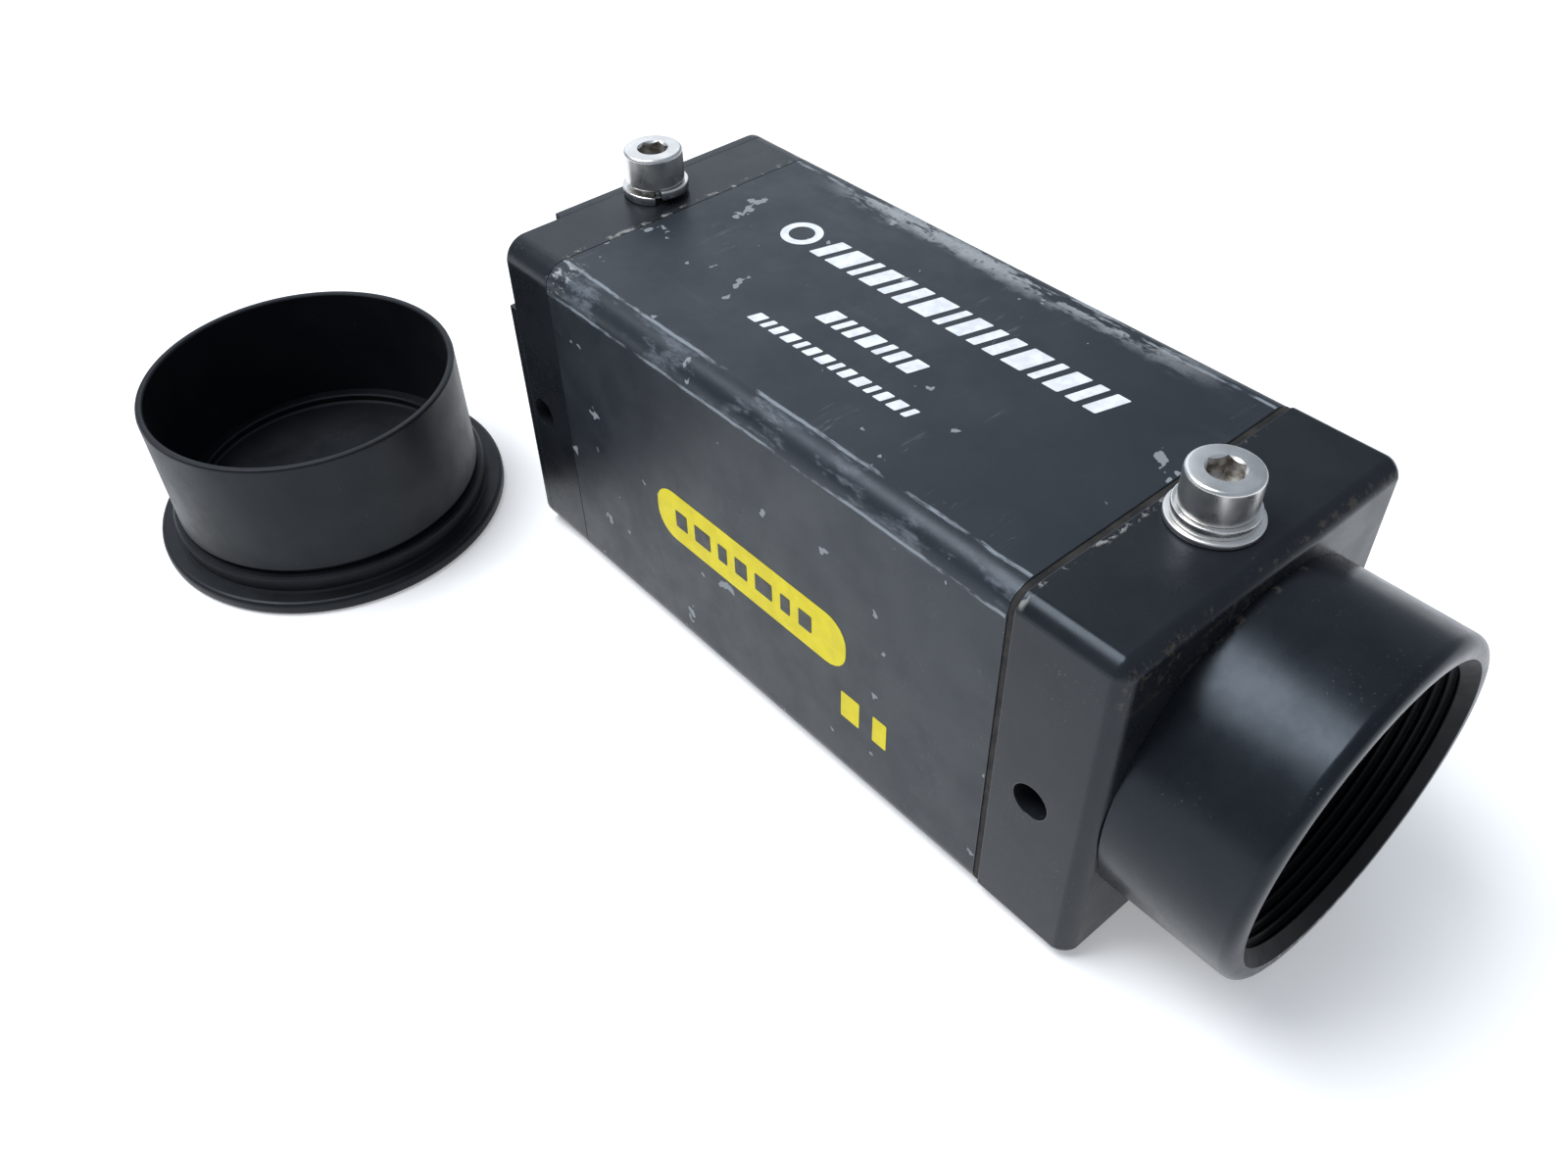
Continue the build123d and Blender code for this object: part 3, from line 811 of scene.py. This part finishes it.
def makeDustCap(look):
    low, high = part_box("dust_cap")
    centre = Vector(((low.x + high.x) / 2, (low.y + high.y) / 2, low.z))
    top = (high.z - low.z) / mm
    inner = look["innerRadius"]
    outer = inner + look["wall"]
    flange = (high.x - low.x) / 2 / mm
    bend = look["flangeRound"]
    rim = look["rimRound"]
    step = outer + look["ringWidth"]
    groove = outer - look["grooveDepth"]
    grooveTop = look["ringTop"] + look["grooveWidth"]
    ledge = inner - look["ledgeWidth"]
    ledgeTop = look["floor"] + look["ledgeHeight"]
    outline = [(0, 0)]
    outline += arc((flange - bend, bend), bend, -90, 0, 4)
    outline += arc((flange - bend, look["flangeThickness"] - bend), bend, 0, 90, 4)
    outline += [(step + 0.2, look["flangeThickness"]), (step, look["flangeThickness"] + 0.2),
                (step, look["ringTop"] - 0.2), (step - 0.2, look["ringTop"]), (groove, look["ringTop"]),
                (groove, grooveTop - 0.1), (groove + 0.1, grooveTop), (outer - 0.08, grooveTop),
                (outer, grooveTop + 0.08)]
    outline += arc((outer - rim, top - rim), rim, 0, 90, 3) + arc((inner + rim, top - rim), rim, 90, 180, 3)
    outline += [(inner, ledgeTop), (ledge + 0.15, ledgeTop), (ledge, ledgeTop - 0.15),
                (ledge, look["floor"] + 0.2), (ledge - 0.2, look["floor"]), (0, look["floor"])]
    piece = turnedPiece("dustCap", centre, outline, steps=look["steps"])
    way = {"centre": centre, "axis": "Z", "pitch": 0.6, "share": 0.45}
    piece.data.materials.append(makeFinish("capPlastic", look["colour"], look["second"], 0.42, spread=0.06,
                                           blotch=7.0, grain=0.3, depth=0.012, specular=0.26,
                                           dust=0.2, lathe=way, tint=(0.84, 0.92, 1.0)))
    smoothShading(piece, 30)
    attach(piece, "dust_cap")
    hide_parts("dust_cap")


makeDustCap(capLook)
print("dust cap made")


# receptacle at the rear

receptacleLook = {
    "radius": 4.9,
    "wall": 0.7,
    "flangeRadius": 6.2,
    "flangeThickness": 1.2,
    "round": 0.2,
    "grooveStart": 2.4,     # from the mouth
    "grooveEnd": 1.3,
    "grooveSlope": 0.2,
    "grooveDepth": 0.25,
}


def makeReceptacle(look):
    low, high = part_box("connector_shell")
    centre = Vector((0, low.y, (low.z + high.z) / 2))
    end = (high.y - low.y) / mm
    flangeStart = (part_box("connector_seal")[1].y - low.y) / mm
    flangeEnd = flangeStart + look["flangeThickness"]
    radius = look["radius"]
    inner = radius - look["wall"]
    bend = look["round"]
    outline = [(radius, 0), (radius, flangeStart), (look["flangeRadius"], flangeStart)]
    outline += arc((look["flangeRadius"] - bend, flangeEnd - bend), bend, 0, 90, 4)
    outline += [(radius, flangeEnd)]
    start = end - look["grooveStart"]
    stop = end - look["grooveEnd"]
    slope = look["grooveSlope"]
    bottom = radius - look["grooveDepth"]
    outline += [(radius, start), (bottom, start + slope), (bottom, stop - slope), (radius, stop)]
    outline += arc((radius - bend, end - bend), bend, 0, 90, 3)
    outline += [(inner + 0.15, end), (inner, end - 0.15), (inner, 0), (radius, 0)]
    piece = turnedPiece("connectorShell", centre, outline, axis="Y", steps=96)
    way = {"centre": centre, "axis": "Y", "pitch": 0.2, "share": 0.8}
    piece.data.materials.append(makeFinish("nickelPlate", (0.56, 0.54, 0.50), (0.44, 0.43, 0.40), 0.26,
                                           spread=0.07, blotch=2.0, grain=0.1, depth=0.004, metallic=1.0,
                                           lathe=way))
    smoothShading(piece, 30)
    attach(piece, "camera")
    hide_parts("connector_shell")


makeReceptacle(receptacleLook)
print("receptacle made")


# prints: plain marks in ink, without letters, a hair thick

inkLook = {"thickness": 0.025}
whiteInk = makeFinish("whiteInk", (0.80, 0.82, 0.84), (0.66, 0.68, 0.70), 0.45, blotch=1.2,
                      grain=0.2, depth=0.004)
yellowInk = makeFinish("yellowInk", (0.76, 0.64, 0.012), (0.68, 0.56, 0.01), 0.5, blotch=2.5,
                       grain=0.2, depth=0.004, specular=0.25)
darkInk = makeFinish("darkInk", (0.020, 0.022, 0.024), (0.035, 0.036, 0.036), 0.5, blotch=1.5,
                     grain=0.2, depth=0.004)


def inkPad(name, centre, width, height, face, ink, lift=1, corner=0.12, lean=0.0):
    # width runs along Y; height runs along X on top and along Z on the side
    thick = inkLook["thickness"] * mm
    size = Vector((height * mm, width * mm, thick))
    if face != "top":
        size = Vector((thick, width * mm, height * mm))
    middle = Vector(centre) * mm
    outward = Vector((0, 0, 1)) if face == "top" else Vector((-1, 0, 0))
    middle += outward * thick * (lift - 0.5)
    piece = boxPiece(name, middle - size / 2, middle + size / 2)
    normal = 2 if face == "top" else 0
    across = 2 - normal
    openForEditing(piece, "VERT")
    choose(piece, "verts", lambda vert: vert.co[across] > middle[across])
    bpy.ops.transform.translate(value=(0, lean * height * mm, 0))
    bpy.ops.mesh.select_mode(type="EDGE")
    bpy.ops.mesh.select_all(action="DESELECT")
    choose(piece, "edges", lambda edge: isAlong(edge, normal))
    bpy.ops.mesh.bevel(offset=corner * mm, segments=6)
    bpy.ops.object.mode_set(mode="OBJECT")
    piece.data.materials.append(ink)
    return piece


def joinPieces(name, pieces):
    pickOnly(pieces[0])
    for piece in pieces:
        piece.select_set(True)
    if len(pieces) > 1:
        bpy.ops.object.join()
    pieces[0].name = name
    pieces[0].data.name = name
    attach(pieces[0], "camera")


def onSleeve(face, across, along):
    # shares of the sleeve: across from the near or lower side, along from the rear
    low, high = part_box("body_sleeve")
    y = high.y + (low.y - high.y) * along
    if face == "top":
        return Vector((low.x + (high.x - low.x) * across, y, high.z)) / mm
    return Vector((low.x, y, low.z + (high.z - low.z) * across)) / mm


def bars(name, face, line, ink, lift=1, lean=0.0):
    # bars of the line's lengths, repeated from start to end along the sleeve
    place = onSleeve(face, line["across"], line["start"])
    end = onSleeve(face, line["across"], line["end"]).y
    made = []
    for length in itertools.cycle(line["lengths"]):
        if place.y - length < end:
            break
        centre = place - Vector((0, length / 2, 0))
        made.append(inkPad(name, centre, length, line["height"], face, ink, lift, lean=lean))
        place.y -= length + line["gap"]
    joinPieces(name, made)


printLook = {
    "mainLine": {"across": 0.65, "height": 3.2, "start": 0.25, "end": 0.87, "gap": 0.7,
                 "lengths": (1.3, 2.1, 0.8, 1.6, 1.0)},
    "secondLine": {"across": 0.42, "height": 2.0, "start": 0.4, "end": 0.62, "gap": 0.55,
                   "lengths": (1.4, 0.7, 1.0)},
    "thirdLine": {"across": 0.28, "height": 1.3, "start": 0.33, "end": 0.68, "gap": 0.5,
                  "lengths": (1.1, 0.6, 0.9)},
    "badgeBars": {"across": 0.47, "height": 1.9, "start": 0.31, "end": 0.67, "gap": 1.1,
                  "lengths": (1.6, 2.2, 1.2)},
    "sideTicks": {"across": 0.28, "height": 3.0, "start": 0.71, "end": 0.87, "gap": 1.6,
                  "lengths": (2.2, 1.6)},
    "badge": {"across": 0.47, "along": 0.49, "length": 25.0, "height": 5.6},
    "ring": {"across": 0.65, "along": 0.2, "inner": 1.2, "outer": 1.95},
}


def makePrints(look):
    for name in ("mainLine", "secondLine", "thirdLine"):
        bars(name, "top", look[name], whiteInk, lean=-0.28)
    ring = look["ring"]
    thick = inkLook["thickness"]
    outline = [(ring["inner"], 0), (ring["outer"], 0), (ring["outer"], thick), (ring["inner"], thick),
               (ring["inner"], 0)]
    mark = turnedPiece("roundMark", onSleeve("top", ring["across"], ring["along"]) * mm, outline, steps=48)
    mark.data.materials.append(whiteInk)
    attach(mark, "camera")
    badge = look["badge"]
    plate = inkPad("sideBadge", onSleeve("side", badge["across"], badge["along"]), badge["length"],
                   badge["height"], "side", yellowInk, corner=2.4)
    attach(plate, "camera")
    bars("badgeBars", "side", look["badgeBars"], darkInk, lift=2)
    bars("sideTicks", "side", look["sideTicks"], yellowInk)


makePrints(printLook)
print("prints made")


# finishes for the CAD nodes that stay as they are

def finishSmallPieces(widths):
    for node, (name, width, material, slotName) in widths.items():
        piece = nodeCopy(node, name)
        piece.data.materials.append(material)
        softenEdges(piece, width)
        smoothShading(piece)
        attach(piece, "camera")
        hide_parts(node)


def stayingNodes():
    board = makeFinish("boardLaminate", (0.010, 0.075, 0.030), (0.008, 0.055, 0.022), 0.35, blotch=3.0,
                       grain=0.4, depth=0.02)
    moulding = makeFinish("blackMoulding", (0.012, 0.012, 0.013), (0.022, 0.022, 0.023), 0.5, blotch=2.0,
                          grain=0.25, depth=0.015)
    spacer = makeFinish("spacerSteel", (0.52, 0.51, 0.49), (0.42, 0.41, 0.40), 0.3, blotch=2.0, grain=0.2,
                        depth=0.004, metallic=1.0)
    blackened = makeFinish("blackenedSteel", (0.050, 0.048, 0.046), (0.095, 0.088, 0.080), 0.38, blotch=1.0,
                           grain=0.15, depth=0.006, metallic=0.8)
    plated = makeFinish("platedNut", (0.56, 0.54, 0.50), (0.44, 0.43, 0.40), 0.28, blotch=1.5, grain=0.1,
                        depth=0.004, metallic=1.0)
    gold = makeFinish("goldContacts", (0.83, 0.60, 0.24), (0.74, 0.52, 0.20), 0.22, blotch=0.8, grain=0.08,
                      depth=0.003, metallic=1.0)
    ceramic = makeFinish("ceramicPackage", (0.16, 0.12, 0.14), (0.20, 0.155, 0.175), 0.55, blotch=2.0,
                         grain=0.2, depth=0.01)
    silicon = makeFinish("siliconDie", (0.10, 0.085, 0.12), (0.07, 0.085, 0.10), 0.16, blotch=3.0, grain=0.02,
                         depth=0.001, metallic=0.6)
    ferrite = makeFinish("ferriteCore", (0.035, 0.034, 0.034), (0.060, 0.057, 0.055), 0.6, blotch=1.0,
                         grain=0.2, depth=0.02)
    can = makeFinish("capacitorCan", (0.62, 0.62, 0.63), (0.52, 0.52, 0.53), 0.3, blotch=1.5, grain=0.15,
                     depth=0.004, metallic=1.0)
    filterGlass = makeGlass("filterGlass", (0.30, 0.55, 0.62), 1.52)
    coverGlass = makeGlass("coverGlass", (0.85, 0.90, 0.90), 1.5)
    finishSmallPieces({
        "case_screws": ("caseScrews", 0.05, blackened, "blackened_steel"),
        "filter_retainer": ("filterRetainer", 0.08, anodised, "anodised_black"),
        "connector_nut": ("connectorNut", 0.12, plated, "nickel_plate"),
        "connector_pins": ("connectorPins", 0.10, gold, "gold_contacts"),
        "connector_insert": ("connectorInsert", 0.10, moulding, "black_moulding"),
    })
    wear = {
        "filter_glass": filterGlass,
        "sensor_package": ceramic, "sensor_die": silicon, "sensor_cover_glass": coverGlass,
        "sensor_leads": gold, "sensor_board": board, "processor_board": board, "power_board": board,
        "connector_board": board, "board_spacers": spacer, "stack_buffers": gasketRubber,
        "board_headers": moulding, "processor_chip": moulding, "memory_chips": moulding,
        "power_inductor": ferrite, "filter_capacitors": can, "connector_seal": gasketRubber,
    }
    for node, material in wear.items():
        piece = frame["nodes"][node]
        for i in range(len(piece.data.materials)):
            piece.data.materials[i] = material


def makeGlass(name, colour, ior):
    material = makeFinish(name, colour, tuple(c * 0.9 for c in colour), 0.05, spread=0.03, blotch=4.0,
                          grain=0.5, depth=0.0005, ior=ior)
    material.node_tree.nodes["Principled BSDF"].inputs["Transmission Weight"].default_value = 1.0
    return material


stayingNodes()
print("finishes of the remaining nodes set")


# studio: pale floor, soft lights, camera

studio = {
    "floorSize": 12.0,
    "floorColour": (0.90, 0.90, 0.90),
    "floorGlow": 0.30,
    "skyColour": (0.76, 0.86, 1.0),
    "skyStrength": 0.44,
    "cameraPlace": (-65.98, -64.17, 94.05),
    "azimuth": -39.49,
    "elevation": 44.08,
    "roll": -1.81,
    "lens": 30.63,
}
lamps = [
    {"name": "keyLamp", "place": (-0.27, 0.30, 0.84), "size": 0.54, "power": 8.6,
     "colour": (0.95, 0.97, 1.0)},
    {"name": "backLamp", "place": (0.43, 0.78, 0.52), "size": 0.80, "power": 1.8,
     "colour": (0.90, 0.95, 1.0)},
]


def aimed(direction):
    return direction.to_track_quat("-Z", "Y")


def makeStudio(look):
    pickOnly()
    bpy.ops.mesh.primitive_plane_add(size=look["floorSize"])
    floor = newPiece("floor")
    pale = makeFinish("paleFloor", look["floorColour"], tuple(c * 0.985 for c in look["floorColour"]), 0.55,
                      blotch=60.0, grain=1.0, depth=0.004, specular=0.3)
    shader = pale.node_tree.nodes["Principled BSDF"]
    shader.inputs["Emission Color"].default_value = (1, 1, 1, 1)
    shader.inputs["Emission Strength"].default_value = look["floorGlow"]
    floor.data.materials.append(pale)
    target = Vector((0, 0, 0.02))
    for lamp in lamps:
        pickOnly()
        bpy.ops.object.light_add(type="AREA", location=lamp["place"])
        light = bpy.context.object
        light.name = lamp["name"]
        light.data.energy = lamp["power"]
        light.data.size = lamp["size"]
        light.data.color = lamp["colour"]
        light.rotation_mode = "QUATERNION"
        light.rotation_quaternion = aimed(target - Vector(lamp["place"]))
    world = bpy.data.worlds.new("sky")
    world.use_nodes = True
    bpy.context.scene.world = world
    sky = world.node_tree.nodes["Background"]
    sky.inputs["Color"].default_value = (*look["skyColour"], 1)
    sky.inputs["Strength"].default_value = look["skyStrength"]
    pickOnly()
    bpy.ops.object.camera_add(location=Vector(look["cameraPlace"]) * mm)
    camera = bpy.context.object
    azimuth = math.radians(look["azimuth"])
    elevation = math.radians(look["elevation"])
    ahead = Vector((-math.sin(azimuth) * math.cos(elevation), math.cos(azimuth) * math.cos(elevation),
                    -math.sin(elevation)))
    camera.rotation_mode = "QUATERNION"
    camera.rotation_quaternion = aimed(ahead) @ Quaternion((0, 0, 1), math.radians(look["roll"]))
    camera.data.lens = look["lens"]
    camera.data.clip_start = mm
    camera.data.clip_end = 10
    bpy.context.scene.camera = camera
    bpy.context.scene.view_settings.view_transform = "Standard"


makeStudio(studio)
print("studio ready")
